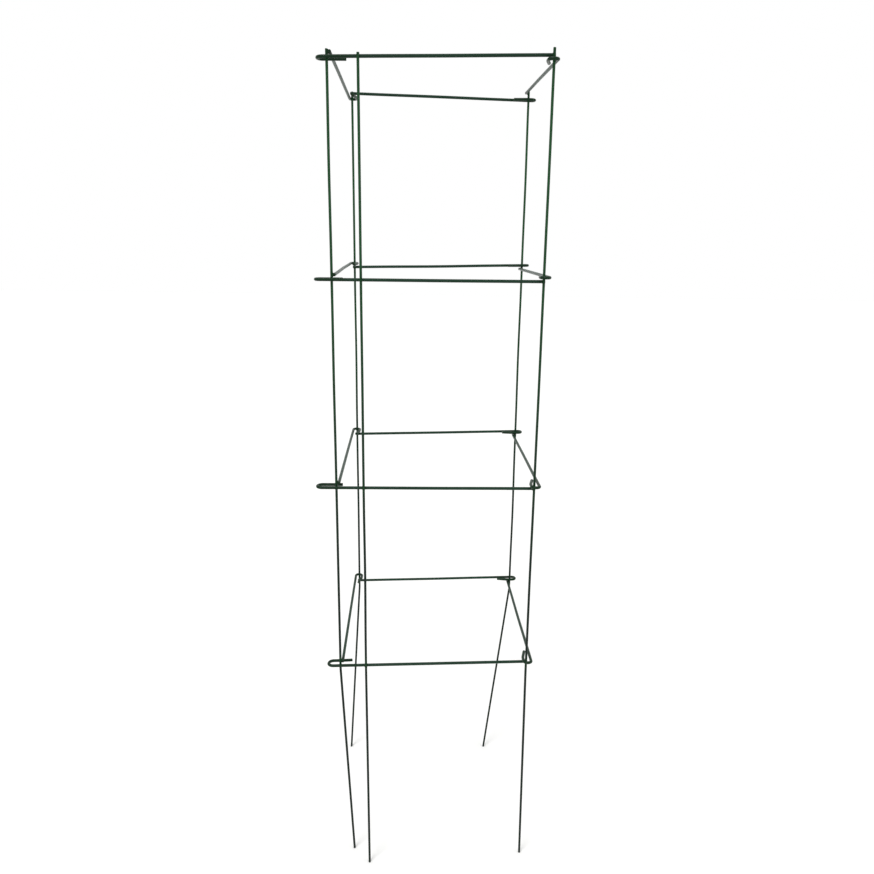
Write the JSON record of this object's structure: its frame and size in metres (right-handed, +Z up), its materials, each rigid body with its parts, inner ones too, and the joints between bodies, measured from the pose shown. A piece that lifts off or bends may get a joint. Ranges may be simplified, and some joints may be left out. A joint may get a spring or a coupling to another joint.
{
  "type": "tomato cage",
  "caption": "Square folding wire tomato cage: welded panels hinged at the corners by hairpin loops, closed by open hooks, with plain wire legs to push into soil.",
  "frame": {"origin": "on the ground, midway between the axes of the four corner posts", "axes": "+Z up along the posts, +Y from the front panel to the back panel, +X from the hooked front left corner to the front right corner"},
  "size_m": [0.3213, 0.3127, 1.196],
  "materials": {
    "green_coat": "semi-gloss dark green coating over steel wire"
  },
  "bodies": {
    "front_panel": {"front_right_post": "green_coat", "latch_post": "green_coat", "front_bottom_rung": "green_coat", "front_lower_rung": "green_coat", "front_upper_rung": "green_coat", "front_top_rung": "green_coat"},
    "right_panel": {"back_right_post": "green_coat", "right_bottom_rung": "green_coat", "right_lower_rung": "green_coat", "right_upper_rung": "green_coat", "right_top_rung": "green_coat"},
    "back_panel": {"back_left_post": "green_coat", "back_bottom_rung": "green_coat", "back_lower_rung": "green_coat", "back_upper_rung": "green_coat", "back_top_rung": "green_coat"},
    "left_panel": {"front_left_post": "green_coat", "left_bottom_rung": "green_coat", "left_lower_rung": "green_coat", "left_upper_rung": "green_coat", "left_top_rung": "green_coat"}
  },
  "joints": [
    {"name": "front_right_hinge", "type": "hinge", "parent": "front_panel", "child": "right_panel", "pos_m": [0.14, -0.14, 0.6], "axis": [0, 0, 1], "range_deg": [-85, 85]},
    {"name": "back_right_hinge", "type": "hinge", "parent": "right_panel", "child": "back_panel", "pos_m": [0.14, 0.14, 0.6], "axis": [0, 0, 1], "range_deg": [-85, 85]},
    {"name": "back_left_hinge", "type": "hinge", "parent": "back_panel", "child": "left_panel", "pos_m": [-0.14, 0.14, 0.6], "axis": [0, 0, 1], "range_deg": [-85, 85]}
  ],
  "couplings": [
    {"joint": "back_right_hinge", "follows": "front_right_hinge", "ratio": -1},
    {"joint": "back_left_hinge", "follows": "front_right_hinge", "ratio": 1}
  ]
}
